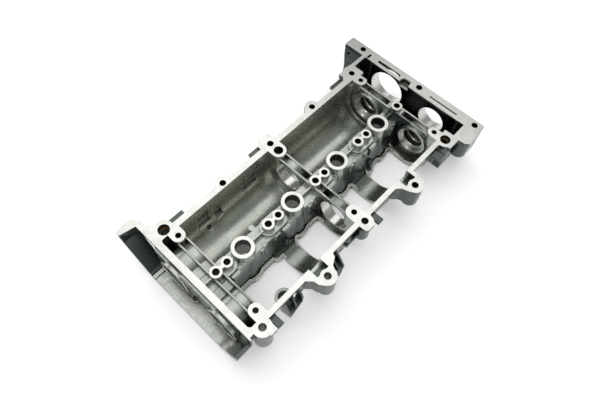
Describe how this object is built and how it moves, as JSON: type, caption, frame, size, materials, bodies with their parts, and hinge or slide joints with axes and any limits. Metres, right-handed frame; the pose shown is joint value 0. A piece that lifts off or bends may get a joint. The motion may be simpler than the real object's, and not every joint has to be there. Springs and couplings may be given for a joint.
{
  "type": "engine valve cover",
  "caption": "Cast aluminium engine valve cover lying joint face up: cam tunnels with bearing webs, a centre row of tubes and bolts, a milled joint face, a belt end and a rear flange.",
  "frame": {"origin": "axis of the middle screw hole of the centre row, in the plane of the milled joint face", "axes": "+X along the engine from the belt end to the rear flange, +Y across to the left rail, +Z out of the joint face (towards the cylinder head when fitted)"},
  "size_m": [0.4726, 0.2535, 0.073],
  "materials": {
    "cast_aluminium": "as cast, with milled faces"
  },
  "bodies": {
    "root": {"cam_cover_casting": "cast_aluminium"}
  },
  "joints": []
}
